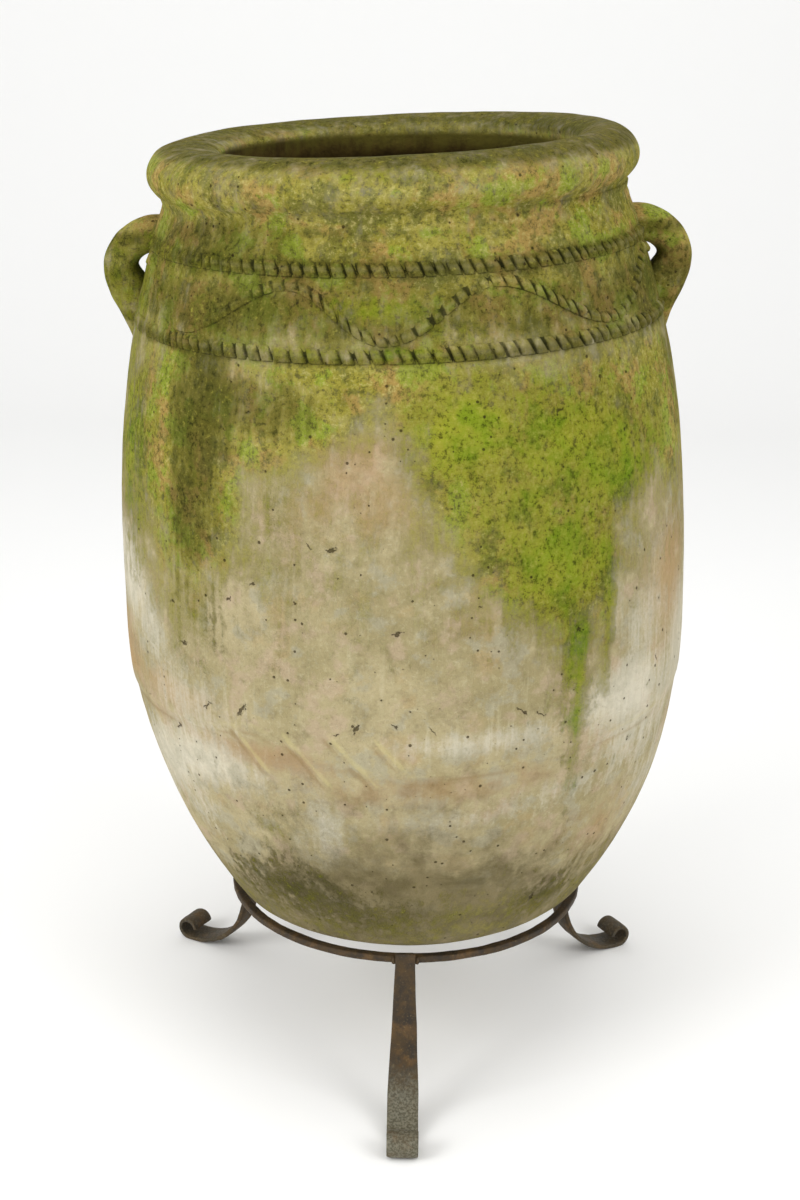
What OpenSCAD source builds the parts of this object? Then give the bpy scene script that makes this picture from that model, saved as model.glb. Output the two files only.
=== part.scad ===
/* [Jar] */
// Greatest outside radius of the jar
belly_r = 303; // [290:1:310]
// Height of the top of the lower curve, where the jar is widest
belly_low_z = 520; // [515:5:530]
// Height of the foot of the upper curve
belly_high_z = 595; // [585:5:605]
// Radius of the curve that draws the jar in towards its base
lower_curve_r = 590; // [580:5:600]
// Radius of the curve that draws the jar in towards its neck
upper_curve_r = 1037; // [1017:10:1087]
// Thickness of the fired clay wall
wall = 26; // [20:1:30]
// Height where the rounding of the base starts
base_round_z = 197; // [195:1:200]
// Radius of the rounding round the base
base_round_r = 36; // [30:1:38]
// Degrees that the jar leans in its stand
lean = 2.4; // [0:0.1:2.4]
// Height that the jar leans about
seat_z = 178; // [174:1:182]
// How far the jar sits to the right and to the back of the stand's centre
seat_shift = [8, 0];

/* [Rim] */
// Height where the rolled rim is joined to the neck
neck_z = 958; // [954:1:962]
// Outside radius of the neck under the rim
neck_r = 238; // [234:1:240]
// Greatest outside radius of the rim
rim_r = 252; // [246:1:256]
// Height of the rim's crest
rim_top_z = 1014; // [1010:1:1018]
// Radius of the mouth's throat
mouth_r = 183; // [175:1:190]
// Height where the throat starts, and its length
throat = [985, 15];
// How far the rim is off the jar's axis, to the left
rim_shift = 2; // [0:1:5]
// How far the mouth is off the jar's axis, to the right
mouth_shift = 5; // [0:1:6]
// Degrees that the rim is tilted more than the jar
rim_tilt = 1.1; // [0:0.1:1.5]

/* [Rope bands] */
// Height of the middle of the upper band
upper_band_z = 916; // [912:1:919]
// Height of the middle of the lower band
lower_band_z = 840; // [836:1:843]
// Width of a band
band_w = 15; // [12:1:16]
// How far a band stands out of the wall
band_relief = 5; // [3:0.5:6]
// Number of waves round the jar
wave_count = 7; // [5:1:9]
// Width of the waved band
wave_w = 11; // [9:1:12]
// How far the waved band is sunk into the wall
wave_sink = 1; // [0.5:0.5:2]

/* [Lugs] */
// Middle of a lug: distance from the jar's axis, and height
lug_middle = [259, 886];
// Half the size of a lug, outwards and upwards
lug_half = [48, 52];
// Width of a lug, along the wall
lug_w = 56; // [50:1:60]
// Middle of a lug's eye: distance from the jar's axis, and height
eye_middle = [269, 889];
// Width of a lug's eye
eye_w = 24; // [20:1:26]
// Height of a lug's eye
eye_h = 36; // [30:1:40]
// Height where the tail below a lug ends
tail_z = 806; // [800:1:815]
// How far the tail stands out of the wall at its end
tail_relief = 2.5; // [1:0.5:6]

/* [Stand] */
// Outside radius of the iron ring
ring_r = 201; // [199:1:203]
// Thickness of the ring's bar, across
ring_t = 10; // [8:1:10]
// Height of the ring's bar
ring_h = 8; // [6:1:10]
// Height of the underside of the ring
ring_z = 167; // [164:1:168]
// Thickness of a leg
leg_t = 6; // [5:0.5:6]
// Width of a leg at the ring
leg_top_w = 22; // [20:1:26]
// Width of a leg at the foot
leg_foot_w = 34; // [30:1:38]
// How far a leg stands above the ring
leg_over = 6; // [4:1:8]
// Degrees that a leg splays out
splay = 12; // [10:0.1:13]
// Radius of the sweep into the foot
sweep_r = 78; // [74:1:82]
// Length of the flat under the foot
foot_flat = 6; // [4:0.5:8]
// Outside radius of the scrolled foot
scroll_r = 15; // [14:0.5:17]
// Degrees that the foot is rolled
scroll_turn = 265; // [240:5:270]
// Radius of a weld bead
weld_r = 2.4; // [2:0.1:3]

/* [Hidden] */

$fn = 96;
clay = "#9a9468";
clay_dark = "#7f7f4c";
iron = "#5b4830";

// The wall's curves, outside when inset is 0 and inside when inset is the wall's thickness.
function lower_wall(z, inset = 0) = belly_r - lower_curve_r
    + sqrt(pow(lower_curve_r - inset, 2) - pow(belly_low_z - z, 2));
function upper_wall(z, inset = 0) = belly_r - upper_curve_r
    + sqrt(pow(upper_curve_r - inset, 2) - pow(z - belly_high_z, 2));

// The base's rounding leaves the lower curve along its own slope.
round_start = asin((belly_low_z - base_round_z) / lower_curve_r);
round_x = lower_wall(base_round_z) - base_round_r * cos(round_start);
base_z = base_round_z - base_round_r * (1 - sin(round_start));
floor_z = base_z + wall;
curve_top_z = neck_z - 15;
cut_top_z = neck_z + 20;

lower_steps = 20;
upper_steps = 20;
round_steps = 8;
base_points = [for (i = [0 : round_steps - 1])
    let (a = 90 - (90 - round_start) * i / round_steps)
    [round_x + base_round_r * cos(a), base_z + base_round_r * (1 - sin(a))]];
lower_points = [for (i = [0 : lower_steps])
    let (z = base_round_z + (belly_low_z - base_round_z) * i / lower_steps)
    [lower_wall(z), z]];
upper_points = [for (i = [0 : upper_steps])
    let (z = belly_high_z + (curve_top_z - belly_high_z) * i / upper_steps)
    [upper_wall(z), z]];
outside_points = concat([[0, base_z]], base_points, lower_points, upper_points,
                        [[neck_r, neck_z], [neck_r, cut_top_z], [0, cut_top_z]]);

inside_lower = [for (i = [1 : lower_steps])
    let (z = floor_z + (belly_low_z - floor_z) * i / lower_steps)
    [lower_wall(z, wall), z]];
inside_upper = [for (i = [0 : upper_steps])
    let (z = belly_high_z + (curve_top_z - belly_high_z) * i / upper_steps)
    [upper_wall(z, wall), z]];
inside_points = concat([[0, floor_z], [lower_wall(floor_z, wall) - 14, floor_z]], inside_lower,
                       inside_upper, [[upper_wall(curve_top_z, wall), cut_top_z + 1],
                                      [0, cut_top_z + 1]]);

// The rolled rim's round is two half ellipses, a wide one outside and a flat one inside.
rim_roll = 34;
rim_rise = 28;
rim_steps = 14;
rim_mid = [rim_r - rim_roll, rim_top_z - rim_rise];
throat_top = throat[0] + throat[1];
rim_outside = [for (i = [0 : rim_steps]) let (a = -50 + 140 * i / rim_steps)
    [rim_mid[0] + rim_roll * cos(a), rim_mid[1] + rim_rise * sin(a)]];
neck_inside = upper_wall(curve_top_z, wall);
throat_low = [for (i = [0 : 6]) let (a = 270 - 15 * i)
    [neck_inside + (neck_inside - mouth_r) * cos(a),
     throat[0] + (throat[0] - neck_z - 2) * sin(a)]];
throat_high = [for (i = [0 : 6]) let (a = 180 - 15 * i)
    [rim_mid[0] + (rim_mid[0] - mouth_r) * cos(a),
     throat_top + (rim_top_z - throat_top) * sin(a)]];

// Middle of the waved band, and its slope in millimetres of height to the degree.
wave_mid_z = (upper_band_z + lower_band_z) / 2;
wave_h = (upper_band_z - lower_band_z - band_w - wave_w - 2) / 2;
function wave_z(a) = wave_mid_z - wave_h * cos(wave_count * a);
function wave_slope(a) = wave_h * wave_count * sin(wave_count * a) / upper_wall(wave_z(a));

// The waved band is a half-round section, six points, swept round between the lugs.
wave_step = 2.3;
wave_rings = 72;
function wave_ring(a) = let (spread = sqrt(1 + pow(wave_slope(a), 2)) * wave_w / 2)
    [for (k = [0 : 5]) let (
        z = wave_z(a) - spread * cos(36 * k),
        r = upper_wall(z) + band_relief * sin(36 * k) - wave_sink)
     [r * sin(a), -r * cos(a), z]];

module revolve(points) {
    rotate_extrude() polygon(points);
}

module jar_outside() {
    revolve(outside_points);
}

// Puts a piece of the jar where the jar leans in its stand.
module seated() {
    translate([seat_shift[0], seat_shift[1], seat_z]) rotate([0, -lean, 0])
        translate([0, 0, -seat_z]) children();
}

module tilted() {
    translate([0, 0, neck_z]) rotate([0, -rim_tilt, 0]) translate([0, 0, -neck_z]) children();
}

module jar_body() {
    color(clay) seated() difference() {
        jar_outside();
        revolve(inside_points);
        tilted() translate([-400, -400, neck_z]) cube([800, 800, 100]);
    }
}

module rolled_rim() {
    color(clay_dark) seated() tilted() difference() {
        translate([-rim_shift, 0, 0])
            revolve(concat([[0, neck_z], [neck_r, neck_z]], rim_outside, [[0, rim_top_z]]));
        translate([mouth_shift, 0, 0])
            revolve(concat([[0, neck_z - 1], [neck_inside, neck_z - 1]], throat_low, throat_high,
                           [[rim_mid[0], rim_top_z + 1], [0, rim_top_z + 1]]));
    }
}

module lug_gaps() {
    for (side = [-1, 1])
        translate([side * 300, 0, wave_mid_z]) cube([300, lug_w, 300], center = true);
}

module rope_band(z) {
    band_points = [for (i = [0 : 12]) let (a = -90 + 15 * i)
        [upper_wall(z + band_w / 2 * sin(a)) + band_relief * cos(a), z + band_w / 2 * sin(a)]];
    color(clay_dark) seated() difference() {
        revolve(concat([[200, z - band_w / 2]], band_points, [[200, z + band_w / 2]]));
        jar_outside();
        lug_gaps();
    }
}

module upper_rope_band() {
    rope_band(upper_band_z);
}

module lower_rope_band() {
    rope_band(lower_band_z);
}

module wave_rope_band() {
    sides = 6;
    color(clay_dark) seated() for (half = [0, 180]) {
        start = half - wave_step * wave_rings / 2;
        points = [for (i = [0 : wave_rings]) each wave_ring(start + wave_step * i)];
        skin = [for (i = [0 : wave_rings - 1], k = [0 : sides - 1])
            [i * sides + k, (i + 1) * sides + k,
             (i + 1) * sides + (k + 1) % sides, i * sides + (k + 1) % sides]];
        caps = [[for (k = [0 : sides - 1]) k],
                [for (k = [sides - 1 : -1 : 0]) wave_rings * sides + k]];
        polyhedron(points, concat(skin, caps));
    }
}

// A lug is an ear that dies into the wall in a short tail. It is drawn past the wall's face,
// which then cuts it.
module lug_outline() {
    inside = [neck_r - 40, tail_z];
    polygon(concat(
        [for (a = [150 : -6 : -48])
            [lug_middle[0] + lug_half[0] * cos(a), lug_middle[1] + lug_half[1] * sin(a)]],
        [[lug_middle[0] + 0.52 * lug_half[0], tail_z + 18],
         [upper_wall(tail_z) + tail_relief, tail_z], inside]));
}

// Seen from above, the strap narrows to a round nose.
module lug_plan() {
    nose = 30;
    polygon(concat([[200, -lug_w / 2]],
        [for (a = [-90 : 15 : 90])
            [lug_middle[0] + lug_half[0] - nose + nose * cos(a), lug_w / 2 * sin(a)]],
        [[200, lug_w / 2]]));
}

module eye_outline() {
    for (side = [-1, 1])
        translate([eye_middle[0], eye_middle[1] + side * (eye_h - eye_w) / 2]) circle(d = eye_w);
    translate([eye_middle[0] - eye_w / 2, eye_middle[1] - (eye_h - eye_w) / 2])
        square([eye_w, eye_h - eye_w]);
}

module lug() {
    color(clay) difference() {
        intersection() {
            rotate([90, 0, 0]) linear_extrude(lug_w, center = true) difference() {
                lug_outline();
                eye_outline();
            }
            translate([0, 0, neck_z - 200]) linear_extrude(200) lug_plan();
        }
        jar_outside();
    }
}

module left_lug() {
    seated() rotate([0, 0, 180]) lug();
}

module right_lug() {
    seated() lug();
}

module support_ring() {
    edge = 1;
    color(iron) translate([0, 0, ring_z])
        revolve([[ring_r - ring_t, edge], [ring_r - ring_t + edge, 0], [ring_r - edge, 0],
                 [ring_r, edge], [ring_r, ring_h - edge], [ring_r - edge, ring_h],
                 [ring_r - ring_t + edge, ring_h], [ring_r - ring_t, ring_h - edge]]);
}

// A leg's middle line as [distance from the centre, height, heading], where a heading of
// -90 is straight down and 0 is straight out along the floor.
bend_r = 40;
leg_r = ring_r + leg_t / 2 - 0.3;
leg_top_z = ring_z + ring_h + leg_over;
bend_z = ring_z - 4;
straight_r = leg_r + bend_r * (1 - cos(splay));
sweep_z = leg_t / 2 + sweep_r * (1 - sin(splay));
sweep_x = straight_r + (bend_z - bend_r * sin(splay) - sweep_z) * tan(splay)
    + sweep_r * cos(splay);
curl_r = scroll_r - leg_t / 2;
leg_line = concat(
    [[leg_r, leg_top_z, -90]],
    [for (i = [0 : 4]) let (a = splay * i / 4)
        [leg_r + bend_r * (1 - cos(a)), bend_z - bend_r * sin(a), a - 90]],
    [for (i = [0 : 12]) let (a = splay + (90 - splay) * i / 12)
        [sweep_x - sweep_r * cos(a), leg_t / 2 + sweep_r * (1 - sin(a)), a - 90]],
    [for (a = [0 : 11.25 : scroll_turn])
        [sweep_x + foot_flat + curl_r * sin(a), scroll_r - curl_r * cos(a), a]]);
function beside(p, off) = [p[0] - off * sin(p[2]), p[1] + off * cos(p[2])];

module leg(turn) {
    taper_top = ring_z - 4;
    taper_foot = 2 * scroll_r;
    last = len(leg_line) - 1;
    color(iron) rotate([0, 0, turn]) intersection() {
        rotate([90, 0, 0]) linear_extrude(leg_foot_w + 2, center = true)
            polygon(concat([for (p = leg_line) beside(p, leg_t / 2)],
                           [for (i = [last : -1 : 0]) beside(leg_line[i], -leg_t / 2)]));
        rotate([90, 0, 90]) linear_extrude(ring_r + 200) polygon([
            [leg_foot_w / 2, -1], [leg_foot_w / 2, taper_foot], [leg_top_w / 2, taper_top],
            [leg_top_w / 2, leg_top_z + 1], [-leg_top_w / 2, leg_top_z + 1],
            [-leg_top_w / 2, taper_top], [-leg_foot_w / 2, taper_foot], [-leg_foot_w / 2, -1]]);
    }
}

front_turn = -90;

module front_leg() {
    leg(front_turn);
}

module right_leg() {
    leg(front_turn + 120);
}

module left_leg() {
    leg(front_turn - 120);
}

module weld_beads() {
    color(iron) for (turn = [0, 120, 240], side = [-1, 1])
        rotate([0, 0, front_turn + turn])
            translate([ring_r + weld_r / 2, side * (leg_top_w / 2 + weld_r / 2), ring_z])
                cylinder(h = ring_h, r = weld_r, $fn = 24);
}

jar_body();
rolled_rim();
upper_rope_band();
lower_rope_band();
wave_rope_band();
left_lug();
right_lug();
support_ring();
front_leg();
left_leg();
right_leg();
weld_beads();
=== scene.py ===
"""A tall hand-built terracotta oil jar, mossy from years outdoors, that stands in a ring of
wrought iron on three scrolled legs."""

import math
import random

import bpy
import numpy as np
from mathutils import Matrix, Vector, noise


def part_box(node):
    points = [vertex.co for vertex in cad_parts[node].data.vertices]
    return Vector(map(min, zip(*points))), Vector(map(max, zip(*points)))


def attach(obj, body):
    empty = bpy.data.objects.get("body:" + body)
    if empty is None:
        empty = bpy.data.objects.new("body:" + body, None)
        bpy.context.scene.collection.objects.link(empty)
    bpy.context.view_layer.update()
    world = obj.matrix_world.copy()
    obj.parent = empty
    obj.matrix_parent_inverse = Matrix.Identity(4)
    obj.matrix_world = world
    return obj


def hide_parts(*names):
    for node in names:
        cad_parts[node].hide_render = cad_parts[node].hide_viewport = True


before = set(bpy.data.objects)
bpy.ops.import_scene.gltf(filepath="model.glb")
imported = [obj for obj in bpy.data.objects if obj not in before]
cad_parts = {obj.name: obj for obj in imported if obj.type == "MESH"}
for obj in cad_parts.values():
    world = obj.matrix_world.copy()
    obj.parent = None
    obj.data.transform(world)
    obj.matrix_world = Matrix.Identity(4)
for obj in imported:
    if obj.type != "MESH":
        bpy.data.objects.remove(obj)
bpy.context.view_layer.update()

# The camera stands in front of the jar, a little above its rim, and looks down into the mouth.
camera_place = (-0.0124, -1.990, 1.203)
camera_pitch = 70.75
camera_roll = 1.0
camera = bpy.data.objects.new("camera", bpy.data.cameras.new("camera"))
bpy.context.scene.collection.objects.link(camera)
camera.location = camera_place
camera.rotation_mode = "QUATERNION"
camera.rotation_quaternion = (
    Matrix.Rotation(math.radians(camera_pitch), 3, "X")
    @ Matrix.Rotation(math.radians(camera_roll), 3, "Z")
).to_quaternion()
camera.data.lens = 57.0
camera.data.sensor_width = 36.0
camera.data.clip_start = 0.05
camera.data.clip_end = 40.0
bpy.context.scene.camera = camera


# ---------------------------------------------------------------------------------------------
# The studio: a seamless sheet of white paper under and behind the jar, a white room, and three
# big soft boxes, one on each side in front and one overhead.
def linear(hex_colour):
    """The linear RGBA of an sRGB hex colour."""
    channels = [int(hex_colour[i : i + 2], 16) / 255 for i in (1, 3, 5)]
    return (
        *[c / 12.92 if c <= 0.04045 else ((c + 0.055) / 1.055) ** 2.4 for c in channels],
        1.0,
    )


def add(tree, kind, inputs=None, **settings):
    """Adds a node. Each input is given a value, or the output of another node to link it to."""
    made = tree.nodes.new(kind)
    for name, value in settings.items():
        setattr(made, name, value)
    for socket, value in (inputs or {}).items():
        if isinstance(value, bpy.types.NodeSocket):
            tree.links.new(value, made.inputs[socket])
        else:
            made.inputs[socket].default_value = value
    return made


paper_half = 4.0
paper_rise = 3.0
bpy.ops.object.select_all(action="DESELECT")
bpy.ops.mesh.primitive_plane_add(size=2 * paper_half, location=(0, 0, 0))
paper = bpy.context.object
paper.name = "paper_sweep"
bpy.ops.object.mode_set(mode="EDIT")
bpy.ops.mesh.select_all(action="DESELECT")
bpy.ops.object.mode_set(mode="OBJECT")
for edge in paper.data.edges:
    edge.select = all(paper.data.vertices[v].co.y > 0 for v in edge.vertices)
bpy.ops.object.mode_set(mode="EDIT")
bpy.ops.mesh.extrude_region_move(TRANSFORM_OT_translate={"value": (0, 0, paper_rise)})
bpy.ops.object.mode_set(mode="OBJECT")
bend = paper.modifiers.new("bend", "BEVEL")
bend.width = 1.2
bend.segments = 16
bpy.ops.object.modifier_apply(modifier="bend")
bpy.ops.object.shade_smooth()

# Matt white paper: even and bright, with no gloss that would catch the lamps.
white_paper = bpy.data.materials.new("matt white paper")
white_paper.use_nodes = True
paper_look = white_paper.node_tree.nodes["Principled BSDF"].inputs
paper_look["Base Color"].default_value = linear("#f7f7f6")
paper_look["Roughness"].default_value = 0.95
paper.data.materials.append(white_paper)

room = bpy.data.worlds.new("white room")
room.use_nodes = True
room.node_tree.nodes["Background"].inputs["Color"].default_value = (1, 1, 1, 1)
room.node_tree.nodes["Background"].inputs["Strength"].default_value = 0.7
bpy.context.scene.world = room
bpy.context.scene.view_settings.view_transform = "Standard"

lamp_aim = Vector((0, 0, 0.55))
for name, place, size, power in [
    ("soft_box_left", (-2.6, -1.9, 2.1), 1.8, 62),
    ("soft_box_right", (2.4, -2.0, 2.2), 1.8, 42),
    ("soft_box_top", (0.0, -0.3, 3.2), 2.2, 30),
]:
    lamp = bpy.data.objects.new(name, bpy.data.lights.new(name, "AREA"))
    bpy.context.scene.collection.objects.link(lamp)
    lamp.data.size = size
    lamp.data.energy = power
    lamp.location = place
    lamp.rotation_euler = (lamp_aim - Vector(place)).to_track_quat("-Z", "Y").to_euler()

# ---------------------------------------------------------------------------------------------
# The jar's body: one thick wall of low-fired terracotta, coil-built by hand and beaten smooth,
# so it is a little out of round. It was made in two lifts, and the seam still shows low down.
MM = 0.001
belly_r = 303.0
belly_low_z = 520.0
belly_high_z = 595.0
lower_curve_r = 590.0
upper_curve_r = 1037.0
wall = 26.0
base_round_z = 197.0
base_round_r = 36.0
floor_round_r = 20.0
neck_z = 958.0
neck_top_z = 965.0
jar_lean = 2.4
jar_shift = 8.0
jar_pivot_z = 178.0
seat = (
    Matrix.Translation((jar_shift * MM, 0, jar_pivot_z * MM))
    @ Matrix.Rotation(math.radians(-jar_lean), 4, "Y")
    @ Matrix.Translation((0, 0, -jar_pivot_z * MM))
)


def wall_r(z, inset=0.0):
    """Radius of the wall at a height, outside or that far inside it."""
    z = np.asarray(z, float)
    below = np.minimum(z - belly_low_z, 0)
    above = np.maximum(z - belly_high_z, 0)
    return np.where(
        z < belly_low_z,
        belly_r - lower_curve_r + np.sqrt((lower_curve_r - inset) ** 2 - below**2),
        belly_r - upper_curve_r + np.sqrt((upper_curve_r - inset) ** 2 - above**2),
    )


def points_of(piece):
    """A piece's points in millimetres."""
    flat = np.empty(len(piece.data.vertices) * 3)
    piece.data.vertices.foreach_get("co", flat)
    return flat.reshape(-1, 3) / MM


def put_points(piece, points):
    """Moves a piece's points, given in millimetres."""
    piece.data.vertices.foreach_set("co", (points * MM).astype(np.float32).ravel())
    piece.data.update()


def close_up(piece):
    """Merges the points that meet at a seam or a pole, and turns the faces outwards."""
    bpy.ops.object.mode_set(mode="EDIT")
    bpy.ops.mesh.select_all(action="SELECT")
    bpy.ops.mesh.remove_doubles(threshold=0.01 * MM)
    bpy.ops.mesh.normals_make_consistent(inside=False)
    bpy.ops.object.mode_set(mode="OBJECT")
    bpy.ops.object.shade_smooth()
    return piece


def turned(name, outline, steps):
    """Turns an outline of (radius, height) points about the upright axis, as on a wheel."""
    bpy.ops.object.select_all(action="DESELECT")
    bpy.ops.mesh.primitive_plane_add(size=MM)
    piece = bpy.context.object
    piece.name = name
    bpy.ops.object.mode_set(mode="EDIT")
    bpy.ops.mesh.merge(type="CENTER")
    bpy.ops.transform.translate(value=(outline[0][0] * MM, 0, outline[0][1] * MM))
    for (r_0, z_0), (r_1, z_1) in zip(outline, outline[1:]):
        bpy.ops.mesh.extrude_region_move(
            TRANSFORM_OT_translate={"value": ((r_1 - r_0) * MM, 0, (z_1 - z_0) * MM)}
        )
    bpy.ops.mesh.select_all(action="SELECT")
    bpy.ops.mesh.spin(steps=steps, angle=2 * math.pi, center=(0, 0, 0), axis=(0, 0, 1))
    bpy.ops.object.mode_set(mode="OBJECT")
    return close_up(piece)


def lumps(points, size, seed):
    """Soft random lumps from -1 to 1, about that many millimetres across."""
    shift = Vector((seed * 7.3, seed * 3.1, seed * 5.7))
    return np.array([noise.noise(Vector(p) / size + shift) for p in points])


def ramp(x, start, end):
    """Rises smoothly from 0 at start to 1 at end."""
    t = np.clip((np.asarray(x, float) - start) / (end - start), 0, 1)
    return t * t * (3 - 2 * t)


def arc_points(middle, half, start, end, steps):
    """Points of an ellipse's arc, in degrees from the horizontal."""
    angles = np.radians(np.linspace(start, end, steps + 1))
    return [
        (middle[0] + half[0] * math.cos(a), middle[1] + half[1] * math.sin(a)) for a in angles
    ]


round_start = math.degrees(math.asin((belly_low_z - base_round_z) / lower_curve_r))
round_middle = (
    float(wall_r(base_round_z)) - base_round_r * math.cos(math.radians(round_start)),
    base_round_z + base_round_r * math.sin(math.radians(round_start)),
)
base_z = round_middle[1] - base_round_r
floor_z = base_z + wall
floor_r = float(wall_r(floor_z + floor_round_r, wall))
outside_rows = 142
inside_rows = 22
body_outline = [(0, base_z), (round_middle[0] * 0.5, base_z), (round_middle[0], base_z)]
body_outline += arc_points(
    round_middle, (base_round_r, base_round_r), -90, -round_start, 8
)[1:]
body_outline += [
    (float(wall_r(z)), z) for z in np.linspace(base_round_z, neck_z, outside_rows)[1:]
]
body_outline += [(238.6, neck_top_z), (224, neck_top_z), (213.5, neck_top_z)]
body_outline += [
    (float(wall_r(z, wall)), z)
    for z in np.linspace(neck_z, floor_z + floor_round_r, inside_rows)
]
body_outline += arc_points(
    (floor_r - floor_round_r, floor_z + floor_round_r), (floor_round_r, floor_round_r), 0, -90, 4
)[1:]
body_outline += [(floor_r * 0.5, floor_z), (0, floor_z)]

body = turned("clay_body", body_outline, 540)
spots = points_of(body)
azimuth = np.degrees(np.arctan2(spots[:, 0], -spots[:, 1]))
height = spots[:, 2]
radius = np.hypot(spots[:, 0], spots[:, 1])
outside = (radius > wall_r(height) - wall / 2) & (height > base_z + 2)
swell = 1.6 * lumps(spots, 170, 1) + 0.7 * lumps(spots, 60, 2) + 0.28 * lumps(spots, 17, 3)

# The jar is fuller low on its left and right sides.
swell += 4.0 * np.exp(-(((azimuth + 90) / 28) ** 2) - ((height - 500) / 95) ** 2)
swell += 3.5 * np.exp(-(((azimuth - 90) / 28) ** 2) - ((height - 300) / 80) ** 2)

# Where the upper lift of clay laps over the lower one it stands about two millimetres proud.
seam_z = np.interp(
    azimuth,
    [-180, -90, -60, -42, -31, -17, 0, 20, 60, 95, 180],
    [452, 448, 450, 456, 468, 444, 424, 431, 437, 446, 452],
)
above_seam = height - seam_z
lap = 1 / (1 + np.exp(-above_seam / 2.2))
lap_share = 0.75 + 0.5 * lumps(spots, 90, 4)
swell += 2.8 * lap * np.exp(-np.maximum(above_seam, 0) / 55) * lap_share
# A painted highlight along the lip of the lap, and a painted shadow just below it.
crest = 0.5 * np.exp(-(((above_seam - 4) / 5) ** 2)) * lap_share
crest -= 0.7 * np.exp(-(((above_seam + 5) / 5) ** 2)) * lap_share

# Left of the front the wet clay of the seam was wiped down into four slanting folds.
# arc_mm is the width of one degree of the belly.
arc_mm = 5.2
folds = [(-35, 466, 52), (-24, 470, 66), (-15, 474, 70), (-6, 470, 40)]
for fold_azimuth, fold_z, fold_reach in folds:
    right = (azimuth - fold_azimuth) * arc_mm
    down = fold_z - height
    along = 0.64 * right + 0.77 * down
    across = 0.77 * right - 0.64 * down
    fold = ramp(along, -6, 8) * ramp(along, fold_reach + 14, fold_reach)
    fold = fold * np.clip(0.8 + 0.5 * lumps(spots, 14, 8), 0.1, 1.2)
    swell += 1.9 * fold * np.where(
        across < 0, np.exp(-((across / 3.0) ** 2)), np.exp(-((across / 11) ** 2))
    )
    # Each fold gets a painted highlight on its crest and a painted shadow beside it.
    crest += fold * np.exp(-(((across - 1) / 3.4) ** 2))
    crest -= 0.8 * fold * np.exp(-(((across + 6) / 4) ** 2))

# A soft groove runs round the neck, deepest at the front.
groove_share = 0.4 + 0.6 * ramp(np.abs(azimuth - 20), 90, 30)
swell -= 1.5 * np.exp(-(((height - 945) / 4.5) ** 2)) * groove_share

# Chips and cracks: azimuth from the front, height, length, width, lean and depth.
chips = [
    (-13, 661, 17, 6, 12, 4), (-17, 664, 8, 3, -30, 2), (-50, 581, 13, 4, 10, 3),
    (-32.5, 486, 24, 6, 52, 4), (-9, 481, 14, 5, 58, 3), (-13, 474, 8, 3, 10, 2),
    (-47, 541, 20, 3, 2, 2), (-52, 441, 13, 5, 38, 3), (-41, 481, 22, 3, 40, 2),
    (34.5, 561, 11, 8, 5, 5), (43.5, 801, 7, 5, 60, 3), (32.5, 779, 16, 5, 10, 3),
    (-28.5, 621, 11, 4, 30, 3), (-34, 602, 9, 3, 20, 2), (-1, 580, 9, 6, 10, 3),
    (22, 490, 22, 3, -38, 2), (26, 482, 14, 2.5, -20, 2), (5, 478, 18, 2.5, -48, 2),
    (-2, 486, 9, 3, -40, 2), (33, 242, 14, 5, -62, 3), (58, 497, 12, 3, -50, 2),
    (-30, 785, 10, 4, 15, 3), (-35, 766, 8, 3, 0, 2), (14, 602, 8, 3, 30, 2),
    (110, 640, 16, 5, 20, 3), (150, 560, 12, 6, 70, 3), (-155, 690, 18, 5, 10, 3),
    (-120, 500, 14, 4, 45, 3), (175, 470, 22, 4, 30, 3), (-170, 330, 12, 5, 60, 3),
]  # fmt: skip
for chip_azimuth, chip_z, chip_length, chip_width, chip_lean, chip_depth in chips:
    right = (azimuth - chip_azimuth) * arc_mm
    up = height - chip_z
    lean = math.radians(chip_lean)
    along = right * math.cos(lean) + up * math.sin(lean)
    across = -right * math.sin(lean) + up * math.cos(lean)
    swell -= chip_depth * 0.5 * np.exp(
        -((along / (chip_length * 0.6)) ** 2) - (across / (chip_width * 0.7)) ** 2
    )

# The bands were pressed on, and the wall is sunk a little under them.
upper_band_z = 916.0
lower_band_z = 840.0
band_sink = 1.2
for band_z in (upper_band_z, lower_band_z):
    swell -= band_sink * np.exp(-(((height - band_z) / 5) ** 4))

# Thick moss makes the shoulder lumpy, most of all at the left.
mossy = ramp(height, 820, 845) * ramp(height, 955, 925) * (0.35 + 0.65 * ramp(azimuth, 0, -45))
swell += mossy * 1.3 * lumps(spots, 13, 5)

top_hold = ramp(height, neck_top_z + 2, neck_z - 12)
push = np.where(outside, swell, 0.5 * swell) * top_hold
push = np.where(height < base_z + 2, 0, push)
away = np.column_stack([spots[:, 0], spots[:, 1], np.zeros(len(spots))])
away /= np.maximum(radius, 1e-6)[:, None]
put_points(body, spots + away * push[:, None])
layer = body.data.attributes.new("crest", "FLOAT", "POINT")
layer.data.foreach_set("value", np.where(outside, crest, 0).astype(np.float32))
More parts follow.
